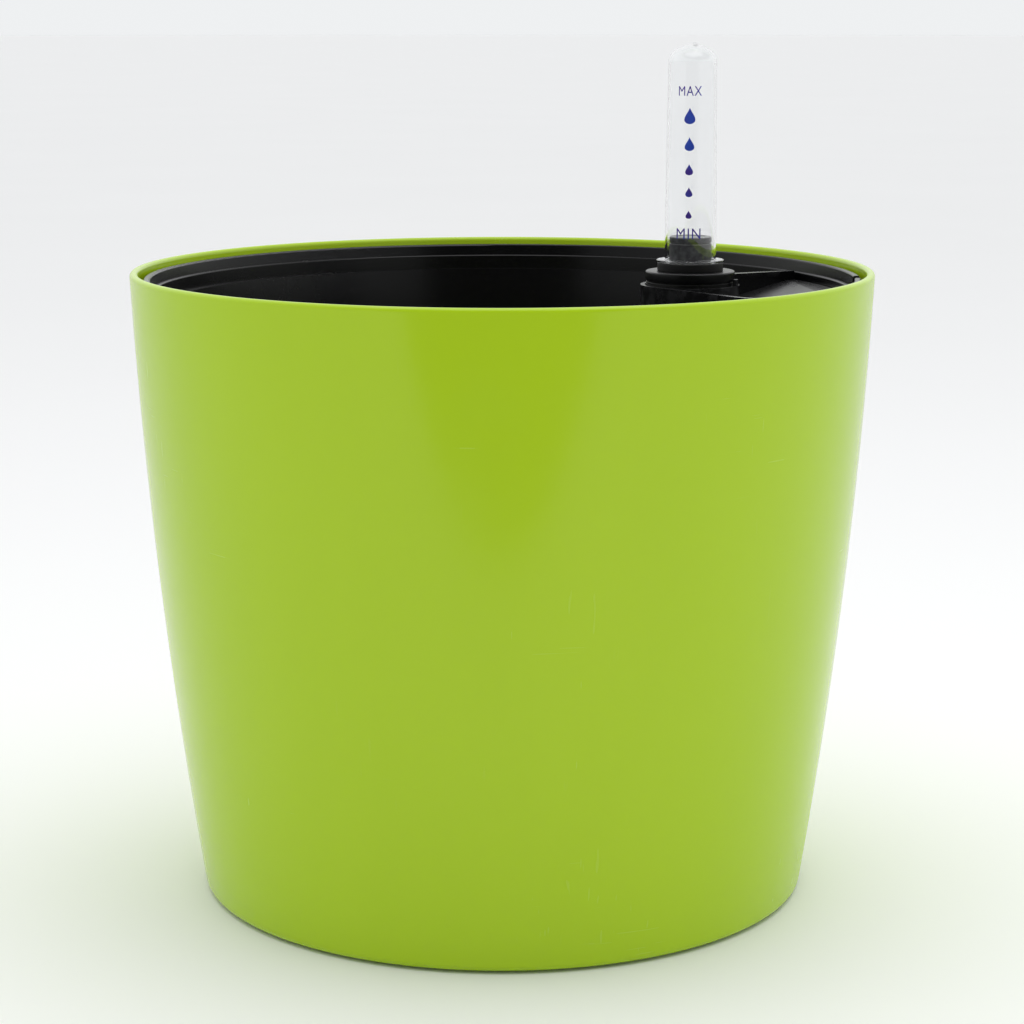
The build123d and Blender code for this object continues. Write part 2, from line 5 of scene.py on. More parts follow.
import bpy
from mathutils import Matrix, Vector


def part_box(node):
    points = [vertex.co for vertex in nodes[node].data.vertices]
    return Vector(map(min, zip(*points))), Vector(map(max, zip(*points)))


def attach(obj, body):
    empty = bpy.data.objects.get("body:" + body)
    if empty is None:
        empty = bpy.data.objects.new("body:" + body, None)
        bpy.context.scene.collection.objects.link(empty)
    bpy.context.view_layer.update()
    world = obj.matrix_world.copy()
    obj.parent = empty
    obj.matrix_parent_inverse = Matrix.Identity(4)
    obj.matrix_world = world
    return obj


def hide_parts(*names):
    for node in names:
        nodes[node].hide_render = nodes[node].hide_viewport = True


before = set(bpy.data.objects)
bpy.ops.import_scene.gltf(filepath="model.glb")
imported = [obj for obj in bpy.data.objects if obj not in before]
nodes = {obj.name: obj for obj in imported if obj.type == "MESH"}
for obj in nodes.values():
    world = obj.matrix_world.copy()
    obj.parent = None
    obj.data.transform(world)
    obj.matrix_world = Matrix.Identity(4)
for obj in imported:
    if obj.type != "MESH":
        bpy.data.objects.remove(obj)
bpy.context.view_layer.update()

MM = 0.001

# ---------------------------------------------------------------- sizes read from the frame
pot_low, pot_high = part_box("outer_pot")
rim_radius = (pot_high.x - pot_low.x) / 2
pot_height = pot_high.z

base_low, base_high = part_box("gauge_base")
gauge_axis = ((base_low.x + base_high.x) / 2, (base_low.y + base_high.y) / 2)
disc_radius = (base_high.x - base_low.x) / 2
disc_top = base_high.z

grommet_low, grommet_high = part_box("tube_grommet")
grommet_radius = (grommet_high.x - grommet_low.x) / 2
grommet_top = grommet_high.z

tube_low, tube_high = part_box("sight_tube")
flange_radius = (tube_high.x - tube_low.x) / 2

marker_low, marker_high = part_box("level_marker")
marker_radius = (marker_high.x - marker_low.x) / 2

# ---------------------------------------------------------------- sizes of the pot
base_radius = 83.0 * MM
side_bulge = 2.3 * MM
pot_wall = 2.2 * MM
foot_height = 0.6 * MM
foot_outer = 79.8 * MM
foot_width = 3.2 * MM
floor_top = 3.2 * MM
drain_radius = 6.0 * MM
around_pot = 256

# ---------------------------------------------------------------- sizes of the gauge
fit_gap = 0.1 * MM
tube_radius = 7.25 * MM
tube_top_radius = 6.7 * MM
tube_wall = 0.6 * MM
crown_radius = 8.8 * MM
dome_round = 4.0 * MM
nub_radius = 0.7 * MM
nub_height = 0.5 * MM
nub_offset = 0.6 * MM
flange_thickness = 0.6 * MM
disc_thickness = 2.6 * MM
groove = 0.4 * MM
plinth_radius = 12.3 * MM
sleeve_length = 1.6 * MM
sleeve_wall = 1.0 * MM
shelf_bore = 5.2 * MM
shelf_thickness = 1.6 * MM
guide_seat = 8.5 * MM
neck_radius = 9.9 * MM
shelf_height = 10.0 * MM
neck_length = 11.2 * MM
rod_seat = 1.28 * MM
marker_grip = 8.0 * MM
marker_groove_depth = 0.25 * MM
marker_groove_foot = 2.0 * MM  # below the marker's top, like the next one
marker_groove_top = 1.6 * MM
marker_rim = 1.2 * MM
marker_dish_inset = 1.6 * MM
marker_dish = 0.3 * MM


# ---------------------------------------------------------------- tools for making meshes
def deselect():
    """Leaves nothing selected, in object mode."""
    if bpy.context.object and bpy.context.object.mode != "OBJECT":
        bpy.ops.object.mode_set(mode="OBJECT")
    bpy.ops.object.select_all(action="DESELECT")


def pick(*pieces):
    """Selects only these pieces, the last one active."""
    deselect()
    for piece in pieces:
        piece.select_set(True)
    bpy.context.view_layer.objects.active = pieces[-1]
    return pieces[-1]


def settle(piece, name, smooth=35):
    """Puts a finished piece's place into its mesh, turns its faces outwards and smooths it."""
    pick(piece)
    piece.name = piece.data.name = name
    bpy.ops.object.transform_apply(location=True, rotation=True, scale=True)
    bpy.ops.object.mode_set(mode="EDIT")
    bpy.ops.mesh.select_all(action="SELECT")
    bpy.ops.mesh.remove_doubles(threshold=1e-6)
    bpy.ops.mesh.normals_make_consistent(inside=False)
    bpy.ops.object.mode_set(mode="OBJECT")
    bpy.ops.object.shade_smooth_by_angle(angle=math.radians(smooth))
    return piece


def rounded(*corners, steps=5):
    """Outline through (radius, height) corners, with an arc where a corner names its rounding too."""
    outline = []
    count = len(corners)
    for index, (r, z, *bend) in enumerate(corners):
        here = Vector((r, z))
        if not bend:
            outline.append(here)
            continue
        back = (Vector(corners[index - 1][:2]) - here).normalized()
        ahead = (Vector(corners[(index + 1) % count][:2]) - here).normalized()
        half = back.angle(ahead) / 2
        centre = here + (back + ahead).normalized() * bend[0] / math.sin(half)
        start = here + back * bend[0] / math.tan(half) - centre
        turn = start.angle_signed(here + ahead * bend[0] / math.tan(half) - centre)
        for step in range(steps + 1):
            share = turn * step / steps
            cos, sin = math.cos(share), -math.sin(share)
            outline.append(centre + Vector((start.x * cos - start.y * sin, start.x * sin + start.y * cos)))
    return outline


def held(outline, closed):
    """Outline with a point just inside each end of its long runs, so that smoothing stays at the bends."""
    points = [Vector(point) for point in outline]
    hold, long_run = 0.15 * MM, 2.0 * MM
    result = []
    for index, here in enumerate(points):
        result.append(here)
        if index == len(points) - 1 and not closed:
            break
        run = points[(index + 1) % len(points)] - here
        if run.length > long_run:
            result += [here + run.normalized() * hold, here + run - run.normalized() * hold]
    return result


def turned(name, outline, centre=(0.0, 0.0), sides=96, closed=True, smooth=35):
    """Round piece: a corner is drawn out along its outline, and the outline is spun about its axis."""
    deselect()
    outline = held(outline, closed)
    first = outline[0]
    bpy.ops.mesh.primitive_plane_add(size=MM, location=(centre[0] + first[0], centre[1], first[1]))
    piece = bpy.context.object
    bpy.ops.object.mode_set(mode="EDIT")
    bpy.ops.mesh.merge(type="CENTER")
    here = Vector(first)
    path = list(outline[1:]) + ([first] if closed else [])
    for point in path:
        step = Vector(point) - here
        bpy.ops.mesh.extrude_region_move(TRANSFORM_OT_translate={"value": (step.x, 0, step.y)})
        here = Vector(point)
    bpy.ops.mesh.select_all(action="SELECT")
    bpy.ops.mesh.spin(steps=sides, angle=math.tau, center=(*centre, 0), axis=(0, 0, 1))
    bpy.ops.object.mode_set(mode="OBJECT")
    return settle(piece, name, smooth)


def joined(name, *pieces):
    """Joins pieces into the first one."""
    deselect()
    for piece in pieces:
        piece.select_set(True)
    bpy.context.view_layer.objects.active = pieces[0]
    bpy.ops.object.join()
    pieces[0].name = pieces[0].data.name = name
    return pieces[0]


def dressed(piece, material):
    """Gives a piece one material."""
    piece.data.materials.clear()
    piece.data.materials.append(material)
    return piece


def placed(piece, body, slot, *replaced):
    """Makes a piece ride on its body, in place of the nodes that it stands for. The slot is not used."""
    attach(piece, body)
    if replaced:
        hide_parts(*replaced)
    return piece


# ---------------------------------------------------------------- outer pot
def side_of_pot(depth, low, high, steps=26):
    """Points up the pot's bowed side at this depth into its wall, from the low to the high height."""
    run, rise = rim_radius - base_radius, pot_height - foot_height
    chord = math.hypot(run, rise)
    radius = (chord**2 / 4 + side_bulge**2) / (2 * side_bulge)
    centre_r = (rim_radius + base_radius) / 2 - (radius - side_bulge) * rise / chord
    centre_z = (pot_height + foot_height) / 2 + (radius - side_bulge) * run / chord
    heights = [low + (high - low) * step / steps for step in range(steps + 1)]
    return [(centre_r + math.sqrt((radius - depth) ** 2 - (z - centre_z) ** 2), z) for z in heights]


def make_pot():
    """The pot's shell: foot ring, bowed side, rounded rim, inner wall and floor with its drain hole."""
    rim_round = 1.05 * MM
    outside = side_of_pot(0, foot_height, pot_height)
    inside = side_of_pot(pot_wall, floor_top, pot_height)[::-1]
    corners = rounded(
        (drain_radius, floor_top),
        (drain_radius, foot_height, 0.4 * MM),
        (foot_outer - foot_width, foot_height),
        (foot_outer - foot_width, 0, 0.25 * MM),
        (foot_outer, 0, 0.25 * MM),
        (foot_outer, foot_height),
        (*outside[0], 2.0 * MM),
        *outside[1:-1],
        (*outside[-1], rim_round),
        (*inside[0], rim_round),
        *inside[1:-1],
        (*inside[-1], 4.0 * MM),
    )
    return turned("pot_shell", corners, sides=around_pot)


pot_shell = placed(make_pot(), "pot", "pot_green", "outer_pot")


# ---------------------------------------------------------------- gauge
def make_gauge_base():
    """The gauge's head: disc with eased edges, groove, plinth, and the neck that the guide tube fits."""
    seat = tube_radius + fit_gap
    sleeve = seat + sleeve_wall + fit_gap
    foot = disc_top - disc_thickness
    low = base_low.z
    base_foot = low + neck_length
    shelf_foot = low + shelf_height
    corners = rounded(
        (seat, disc_top - sleeve_length),
        (sleeve, disc_top - sleeve_length),
        (sleeve, disc_top, 0.15 * MM),
        (disc_radius, disc_top, 0.45 * MM),
        (disc_radius, foot, 0.2 * MM),
        (disc_radius - groove, foot),
        (disc_radius - groove, foot - groove),
        (plinth_radius, foot - groove, 0.1 * MM),
        (plinth_radius, base_foot, 0.2 * MM),
        (neck_radius, base_foot),
        (neck_radius, low, 0.3 * MM),
        (guide_seat, low, 0.2 * MM),
        (guide_seat, shelf_foot),
        (shelf_bore, shelf_foot, 0.2 * MM),
        (shelf_bore, shelf_foot + shelf_thickness, 0.2 * MM),
        (seat, shelf_foot + shelf_thickness),
    )
    return turned("gauge_head", corners, gauge_axis, sides=128)


def make_grommet():
    """Rubber collar with a sleeve down into the head and a full round on its top edge."""
    seat = tube_radius + fit_gap
    corners = rounded(
        (seat, grommet_low.z),
        (seat + sleeve_wall, grommet_low.z),
        (seat + sleeve_wall, disc_top),
        (grommet_radius, disc_top, 0.2 * MM),
        (grommet_radius, grommet_top, 0.35 * MM),
        (seat, grommet_top, 0.15 * MM),
    )
    return turned("grommet_ring", corners, gauge_axis, sides=128)


def dome(radius, top, crown, knuckle, steps=10):
    """Dome from its top on the axis down to the wall: a wide curve that runs into a tighter one."""
    crown_centre = top - crown
    knuckle_reach = radius - knuckle
    knuckle_centre = crown_centre + math.sqrt((crown - knuckle) ** 2 - knuckle_reach**2)
    meet = math.asin(knuckle_reach / (crown - knuckle))
    points = []
    for step in range(steps):
        turn = meet * step / steps
        points.append((crown * math.sin(turn), crown_centre + crown * math.cos(turn)))
    for step in range(steps + 1):
        turn = meet + (math.pi / 2 - meet) * step / steps
        points.append((knuckle_reach + knuckle * math.sin(turn), knuckle_centre + knuckle * math.cos(turn)))
    return points


def make_sight_tube():
    """Clear tube: drawn walls, a domed end, the flange that rests on the grommet, and the gate nub."""
    flange_foot = grommet_top + fit_gap
    flange_top = flange_foot + flange_thickness
    dome_top = tube_high.z - nub_height
    outer = dome(tube_top_radius, dome_top, crown_radius, dome_round)
    inner = dome(
        tube_top_radius - tube_wall, dome_top - tube_wall, crown_radius - tube_wall, dome_round - tube_wall
    )
    outline = rounded(
        *outer,
        (tube_radius, flange_top),
        (flange_radius, flange_top, 0.2 * MM),
        (flange_radius, flange_foot, 0.12 * MM),
        (tube_radius, flange_foot),
        (tube_radius, tube_low.z),
        (tube_radius - tube_wall, tube_low.z),
        (tube_radius - tube_wall, flange_top),
        *inner[::-1],
    )
    shell = turned("tube_shell", outline, gauge_axis, sides=128, closed=False)
    nub_foot = dome_top - tube_wall / 2
    nub_outline = rounded(
        (0, nub_foot),
        (nub_radius, nub_foot),
        (nub_radius, tube_high.z, 0.3 * MM),
        (0, tube_high.z),
    )
    centre = (gauge_axis[0] + nub_offset, gauge_axis[1])
    nub = turned("tube_nub", nub_outline, centre, sides=24, closed=False)
    return shell, nub


def make_marker():
    """Level marker: a plug with a dished top, a shallow ring groove under it and the rod's bore below."""
    low, high = marker_low.z, marker_high.z
    groove_radius = marker_radius - marker_groove_depth
    groove_foot, groove_top = high - marker_groove_foot, high - marker_groove_top
    corners = rounded(
        (rod_seat, low),
        (marker_radius, low, 0.5 * MM),
        (marker_radius, groove_foot, 0.1 * MM),
        (groove_radius, groove_foot),
        (groove_radius, groove_top),
        (marker_radius, groove_top, 0.1 * MM),
        (marker_radius, high, 0.5 * MM),
        (marker_radius - marker_rim, high),
        (marker_radius - marker_dish_inset, high - marker_dish),
        (0, high - marker_dish),
        (0, low + marker_grip),
        (rod_seat, low + marker_grip),
    )
    return turned("marker_plug", corners, gauge_axis)


gauge_head = placed(make_gauge_base(), "gauge", "hopper_black", "gauge_base")
grommet_ring = placed(make_grommet(), "gauge", "seal_rubber", "tube_grommet")
tube_shell, tube_nub = make_sight_tube()
placed(tube_shell, "tube", "clear_plastic", "sight_tube")
placed(tube_nub, "tube", "clear_plastic", "sight_tube")
marker_plug = placed(make_marker(), "float", "marker_grey", "level_marker")


# ---------------------------------------------------------------- printed level marks
mark_turn = math.radians(-99)
print_lift = 0.03 * MM
drop_draw = 1.25  # how far a drop's point is drawn up, in radii of its round end


def tube_surface(z):
    """Radius of the tube's outside at this height."""
    low = grommet_top + fit_gap + flange_thickness
    high = tube_high.z - nub_height - dome_round
    return tube_radius + (tube_top_radius - tube_radius) * (z - low) / (high - low)


def wrapped(piece):
    """Rolls a flat print, drawn about the origin with its up along Y, onto the front of the tube."""
    for vertex in piece.data.vertices:
        across, z = vertex.co.x, vertex.co.y
        radius = tube_surface(z) + print_lift
        turn = mark_turn + across / radius
        vertex.co = (
            gauge_axis[0] + radius * math.cos(turn),
            gauge_axis[1] + radius * math.sin(turn),
            z,
        )
    piece.data.update()
    return piece


def cut_fine(piece, cuts=3):
    """Cuts a flat print finely enough to follow the tube."""
    pick(piece)
    bpy.ops.object.mode_set(mode="EDIT")
    bpy.ops.mesh.select_all(action="SELECT")
    bpy.ops.mesh.quads_convert_to_tris()
    bpy.ops.mesh.subdivide(number_cuts=cuts)
    bpy.ops.object.mode_set(mode="OBJECT")
    return piece


def make_word(word, z, height, width):
    """A printed word, this wide and this high about its middle height."""
    deselect()
    bpy.ops.object.text_add()
    text = bpy.context.object
    text.data.body = word
    text.data.space_character = 1.12
    text.data.resolution_u = 3
    bpy.ops.object.convert(target="MESH")
    piece = bpy.context.object
    low = Vector((min(v.co.x for v in piece.data.vertices), min(v.co.y for v in piece.data.vertices)))
    high = Vector((max(v.co.x for v in piece.data.vertices), max(v.co.y for v in piece.data.vertices)))
    for vertex in piece.data.vertices:
        vertex.co.x = ((vertex.co.x - low.x) / (high.x - low.x) - 0.5) * width
        vertex.co.y = z + ((vertex.co.y - low.y) / (high.y - low.y) - 0.5) * height
    return cut_fine(piece)


def make_drop(z, height, width, points=36):
    """A printed water drop: a disc whose upper half is drawn up to a point, brought to this size."""
    deselect()
    bpy.ops.mesh.primitive_circle_add(vertices=points, radius=1, fill_type="TRIFAN")
    piece = bpy.context.object
    for vertex in piece.data.vertices:
        turn = math.atan2(vertex.co.y, vertex.co.x)
        reach = vertex.co.xy.length
        pinch = math.cos((turn - math.pi / 2) / 2) ** 6 if reach else 0.0
        vertex.co.x *= 1 - pinch
        vertex.co.y += drop_draw * pinch
    low = min(v.co.y for v in piece.data.vertices)
    high = max(v.co.y for v in piece.data.vertices)
    wide = max(v.co.x for v in piece.data.vertices)
    for vertex in piece.data.vertices:
        vertex.co.y = z + ((vertex.co.y - low) / (high - low) - 0.5) * height
        vertex.co.x *= width / 2 / wide
    return cut_fine(piece, 1)


def make_prints():
    """The two words at the ends of the scale and the drops between them, smaller towards the bottom."""
    max_mark, min_mark = 216.6 * MM, 177.5 * MM
    # each drop's middle above the ground, then its height and width, in millimetres
    drops = ((209.9, 4.6, 3.1), (202.2, 3.9, 2.7), (195.2, 3.2, 2.2), (189.0, 2.8, 2.0), (182.8, 2.3, 1.7))
    pieces = [wrapped(make_word("MAX", max_mark, height=2.6 * MM, width=6.6 * MM))]
    pieces.append(wrapped(make_word("MIN", min_mark, height=2.9 * MM, width=6.9 * MM)))
    pieces += [wrapped(make_drop(z * MM, height * MM, width * MM)) for z, height, width in drops]
    scale = joined("level_scale", *pieces)
    pick(scale)
    bpy.ops.object.modifier_add(type="SOLIDIFY")
    scale.modifiers[-1].thickness = print_lift / 2
    bpy.ops.object.modifier_apply(modifier=scale.modifiers[-1].name)
    return settle(scale, "level_scale", 60)


level_scale = placed(make_prints(), "tube", "marker_grey")


# ---------------------------------------------------------------- effects that materials share
def new_group(name, inputs, outputs):
    """Empty shader group with float inputs (name to default) and outputs (name to socket type)."""
    group = bpy.data.node_groups.new(name, "ShaderNodeTree")
    for label, value in inputs.items():
        socket = group.interface.new_socket(name=label, in_out="INPUT", socket_type="NodeSocketFloat")
        socket.default_value = value
    for label, kind in outputs.items():
        group.interface.new_socket(name=label, in_out="OUTPUT", socket_type=kind)
    start = group.nodes.new("NodeGroupInput")
    end = group.nodes.new("NodeGroupOutput")
    return group, start, end


def add_math(tree, operation, first, second):
    """Math node over two values, each a socket or a number."""
    node = tree.nodes.new("ShaderNodeMath")
    node.operation = operation
    for index, value in enumerate((first, second)):
        if isinstance(value, (int, float)):
            node.inputs[index].default_value = value
        else:
            tree.links.new(value, node.inputs[index])
    return node.outputs[0]


def add_noise(tree, scale, detail=3.0, rough=0.5, vector=None):
    """Noise on the piece's own coordinates. The scale is a number or a socket."""
    noise = tree.nodes.new("ShaderNodeTexNoise")
    noise.inputs["Detail"].default_value = detail
    noise.inputs["Roughness"].default_value = rough
    if vector is None:
        vector = tree.nodes.new("ShaderNodeTexCoord").outputs["Object"]
    tree.links.new(vector, noise.inputs["Vector"])
    if isinstance(scale, (int, float)):
        noise.inputs["Scale"].default_value = scale
    else:
        tree.links.new(scale, noise.inputs["Scale"])
    return noise.outputs["Fac"]


def add_range(tree, value, low, high, to_low=0.0, to_high=1.0):
    """Value moved from one range to another and clamped there."""
    node = tree.nodes.new("ShaderNodeMapRange")
    for label, number in (("From Min", low), ("From Max", high), ("To Min", to_low), ("To Max", to_high)):
        node.inputs[label].default_value = number
    tree.links.new(value, node.inputs["Value"])
    return node.outputs["Result"]


def stretched(tree, x, y, z):
    """The piece's own coordinates, scaled by these factors."""
    mapping = tree.nodes.new("ShaderNodeMapping")
    mapping.inputs["Scale"].default_value = (x, y, z)
    coordinates = tree.nodes.new("ShaderNodeTexCoord")
    tree.links.new(coordinates.outputs["Object"], mapping.inputs["Vector"])
    return mapping.outputs["Vector"]


def make_grain_group():
    """Spark-eroded mould grain: fine pits over a softer unevenness."""
    group, start, end = new_group("mould_grain", {"Scale": 2600.0}, {"Height": "NodeSocketFloat"})
    fine = add_noise(group, start.outputs["Scale"], 2.0)
    coarse = add_noise(group, add_math(group, "MULTIPLY", start.outputs["Scale"], 0.23), 2.0)
    height = add_math(group, "ADD", fine, add_math(group, "MULTIPLY", coarse, 0.6))
    group.links.new(height, end.inputs["Height"])
    return group


def make_handling_group():
    """Marks of handling: broad dull smudges, and thin scratches that run in two directions."""
    group, start, end = new_group(
        "handling", {"Smudge Scale": 22.0}, {"Smudge": "NodeSocketFloat", "Scratch": "NodeSocketFloat"}
    )
    smudge = add_range(group, add_noise(group, start.outputs["Smudge Scale"], 4.0, 0.6), 0.42, 0.72)
    along = add_noise(group, 1.0, 1.0, 0.5, stretched(group, 900, 900, 26))
    across = add_noise(group, 1.0, 1.0, 0.5, stretched(group, 60, 34, 1500))
    sparse = add_range(group, add_noise(group, 34.0, 2.0), 0.55, 0.7)
    lines = add_math(
        group, "MAXIMUM", add_range(group, along, 0.7, 0.76), add_range(group, across, 0.71, 0.77)
    )
    group.links.new(smudge, end.inputs["Smudge"])
    group.links.new(add_math(group, "MULTIPLY", lines, sparse), end.inputs["Scratch"])
    return group


def make_dust_and_top_highlight_group():
    """Dust that settles on faces that look up, thinner in patches, with a few coarser specks. Turned up
    strongly, the same mask is a painted highlight on a top face that catches the light.
    """
    group, start, end = new_group("dust_and_top_highlight", {"Amount": 0.5}, {"Mask": "NodeSocketFloat"})
    geometry = group.nodes.new("ShaderNodeNewGeometry")
    split = group.nodes.new("ShaderNodeSeparateXYZ")
    group.links.new(geometry.outputs["Normal"], split.inputs["Vector"])
    upward = add_range(group, split.outputs["Z"], 0.35, 0.95)
    patches = add_range(group, add_noise(group, 420.0, 5.0, 0.7), 0.35, 0.75, 0.25, 1.0)
    specks = add_range(group, add_noise(group, 1500.0, 1.0), 0.68, 0.74)
    film = add_math(group, "ADD", add_math(group, "MULTIPLY", patches, 0.55), specks)
    mask = add_math(group, "MULTIPLY", add_math(group, "MULTIPLY", film, upward), start.outputs["Amount"])
    group.links.new(mask, end.inputs["Mask"])
    return group


def make_wear_group():
    """Edges rubbed bright: where the surface turns sharply, broken up by noise."""
    group, start, end = new_group("edge_wear", {"Amount": 0.5}, {"Mask": "NodeSocketFloat"})
    geometry = group.nodes.new("ShaderNodeNewGeometry")
    edge = add_range(group, geometry.outputs["Pointiness"], 0.53, 0.62)
    broken = add_range(group, add_noise(group, 320.0, 4.0, 0.6), 0.42, 0.62)
    mask = add_math(group, "MULTIPLY", add_math(group, "MULTIPLY", edge, broken), start.outputs["Amount"])
    group.links.new(mask, end.inputs["Mask"])
    return group


mould_grain = make_grain_group()
handling = make_handling_group()
dust_and_top_highlight = make_dust_and_top_highlight_group()
edge_wear = make_wear_group()


# ---------------------------------------------------------------- materials
def new_material(name, **values):
    """Node material whose Principled BSDF has these values on its own sockets."""
    material = bpy.data.materials.new(name)
    material.use_nodes = True
    tree = material.node_tree
    shader = tree.nodes["Principled BSDF"]
    for label, value in values.items():
        shader.inputs[label.replace("_", " ")].default_value = value
    return material, tree, shader


def add_group(tree, group, **values):
    """One of the shared effects, with this material's own values."""
    node = tree.nodes.new("ShaderNodeGroup")
    node.node_tree = group
    for label, value in values.items():
        node.inputs[label.replace("_", " ")].default_value = value
    return node


def add_mix(tree, factor, first, second):
    """Colour mix. The factor is a socket, and each colour is a socket or three numbers."""
    node = tree.nodes.new("ShaderNodeMix")
    node.data_type = "RGBA"
    tree.links.new(factor, node.inputs["Factor"])
    for label, value in (("A", first), ("B", second)):
        socket = next(s for s in node.inputs if s.name == label and s.type == "RGBA")
        if isinstance(value, tuple):
            socket.default_value = (*value, 1)
        else:
            tree.links.new(value, socket)
    return next(s for s in node.outputs if s.type == "RGBA")


def add_bump(tree, shader, height, distance):
    """Bump of this real height on a shader's normal."""
    bump = tree.nodes.new("ShaderNodeBump")
    bump.inputs["Distance"].default_value = distance
    tree.links.new(height, bump.inputs["Height"])
    tree.links.new(bump.outputs["Normal"], shader.inputs["Normal"])


def make_lime():
    """Glossy lime plastic with faint flow marks, orange peel, smudges, hairline scratches and dust."""
    material, tree, shader = new_material(
        "lime_gloss", IOR=1.4, Coat_Weight=0.05, Coat_Roughness=0.06, Coat_IOR=1.45
    )
    marks = add_group(tree, handling, Smudge_Scale=16.0)
    dust_and_highlight = add_group(tree, dust_and_top_highlight, Amount=0.12)
    flow = add_noise(tree, 1.0, 3.0, 0.5, stretched(tree, 30, 30, 9))
    lime = add_mix(tree, flow, (0.41, 0.615, 0.008), (0.44, 0.65, 0.011))
    scratch = add_math(tree, "MULTIPLY", marks.outputs["Scratch"], 0.12)
    shaded = add_mix(tree, scratch, lime, (0.6, 0.75, 0.2))
    dust_and_highlight_colour = add_mix(tree, dust_and_highlight.outputs["Mask"], shaded, (0.55, 0.66, 0.3))
    tree.links.new(dust_and_highlight_colour, shader.inputs["Base Color"])
    rough = add_range(tree, marks.outputs["Smudge"], 0.0, 1.0, 0.17, 0.27)
    rough = add_math(tree, "ADD", rough, add_math(tree, "MULTIPLY", marks.outputs["Scratch"], 0.15))
    tree.links.new(rough, shader.inputs["Roughness"])
    peel = add_noise(tree, 420.0, 1.0)
    add_bump(tree, shader, add_math(tree, "ADD", peel, flow), 0.012 * MM)
    return material


def make_black(name, dark, light, clean_rough, smudged_rough, grain, depth, dust_amount, wear_amount):
    """Black moulded plastic, from satin to semi-gloss, with grain, flow marks, scuffs, wear and dust."""
    material, tree, shader = new_material(name, IOR=1.49, Specular_IOR_Level=0.3)
    marks = add_group(tree, handling, Smudge_Scale=30.0)
    dust_and_highlight = add_group(tree, dust_and_top_highlight, Amount=dust_amount)
    wear = add_group(tree, edge_wear, Amount=wear_amount)
    flow = add_noise(tree, 1.0, 3.0, 0.55, stretched(tree, 46, 46, 14))
    black = add_mix(tree, flow, dark, light)
    scratch = add_math(tree, "MULTIPLY", marks.outputs["Scratch"], 0.3)
    scuffed = add_mix(tree, scratch, black, (0.03, 0.03, 0.032))
    worn = add_mix(tree, wear.outputs["Mask"], scuffed, (0.06, 0.06, 0.063))
    dust_and_highlight_colour = add_mix(tree, dust_and_highlight.outputs["Mask"], worn, (0.1, 0.098, 0.1))
    tree.links.new(dust_and_highlight_colour, shader.inputs["Base Color"])
    rough = add_range(tree, marks.outputs["Smudge"], 0.0, 1.0, clean_rough, smudged_rough)
    rough = add_math(tree, "ADD", rough, add_math(tree, "MULTIPLY", dust_and_highlight.outputs["Mask"], 0.3))
    tree.links.new(rough, shader.inputs["Roughness"])
    add_bump(tree, shader, add_group(tree, mould_grain, Scale=grain).outputs["Height"], depth)
    return material


def make_rubber():
    """Black seal rubber with a grey bloom and a fine skin."""
    material, tree, shader = new_material("seal_rubber", IOR=1.45, Specular_IOR_Level=0.35)
    bloom = add_range(tree, add_noise(tree, 260.0, 5.0, 0.65), 0.45, 0.75, 0.0, 0.35)
    dust_and_highlight = add_group(tree, dust_and_top_highlight, Amount=0.5)
    base = add_mix(tree, bloom, (0.0035, 0.0035, 0.0035), (0.014, 0.014, 0.015))
    dust_and_highlight_colour = add_mix(tree, dust_and_highlight.outputs["Mask"], base, (0.12, 0.12, 0.115))
    tree.links.new(dust_and_highlight_colour, shader.inputs["Base Color"])
    tree.links.new(add_range(tree, bloom, 0.0, 0.35, 0.55, 0.8), shader.inputs["Roughness"])
    add_bump(tree, shader, add_group(tree, mould_grain, Scale=3400.0).outputs["Height"], 0.012 * MM)
    return material


def make_clear():
    """Clear polished plastic with faint draw lines, smudges and scratches, that lamps shine through."""
    material, tree, shader = new_material(
        "clear_tube", IOR=1.49, Transmission_Weight=1.0, Base_Color=(0.975, 0.98, 0.982, 1)
    )
    marks = add_group(tree, handling, Smudge_Scale=60.0)
    rough = add_range(tree, marks.outputs["Smudge"], 0.0, 1.0, 0.012, 0.05)
    rough = add_math(tree, "ADD", rough, add_math(tree, "MULTIPLY", marks.outputs["Scratch"], 0.12))
    tree.links.new(rough, shader.inputs["Roughness"])
    draw = add_noise(tree, 1.0, 2.0, 0.5, stretched(tree, 420, 420, 8))
    add_bump(tree, shader, draw, 0.0015 * MM)
    pale_shadow = tree.nodes.new("ShaderNodeBsdfTransparent")
    pale_shadow.inputs["Color"].default_value = (0.93, 0.94, 0.94, 1)
    path = tree.nodes.new("ShaderNodeLightPath")
    both = tree.nodes.new("ShaderNodeMixShader")
    tree.links.new(path.outputs["Is Shadow Ray"], both.inputs["Fac"])
    tree.links.new(shader.outputs["BSDF"], both.inputs[1])
    tree.links.new(pale_shadow.outputs["BSDF"], both.inputs[2])
    tree.links.new(both.outputs["Shader"], tree.nodes["Material Output"].inputs["Surface"])
    return material


def make_ink():
    """Printed ink, blue to violet, a little uneven where it was stamped."""
    material, tree, shader = new_material("scale_ink", IOR=1.45)
    patch = add_noise(tree, 900.0, 3.0)
    tint = add_range(tree, add_noise(tree, 120.0, 1.0), 0.4, 0.6)
    blue = add_mix(tree, patch, (0.012, 0.035, 0.42), (0.03, 0.11, 0.62))
    violet = add_mix(tree, patch, (0.05, 0.02, 0.28), (0.1, 0.05, 0.42))
    tree.links.new(add_mix(tree, tint, blue, violet), shader.inputs["Base Color"])
    tree.links.new(add_range(tree, patch, 0.3, 0.7, 0.3, 0.5), shader.inputs["Roughness"])
    return material


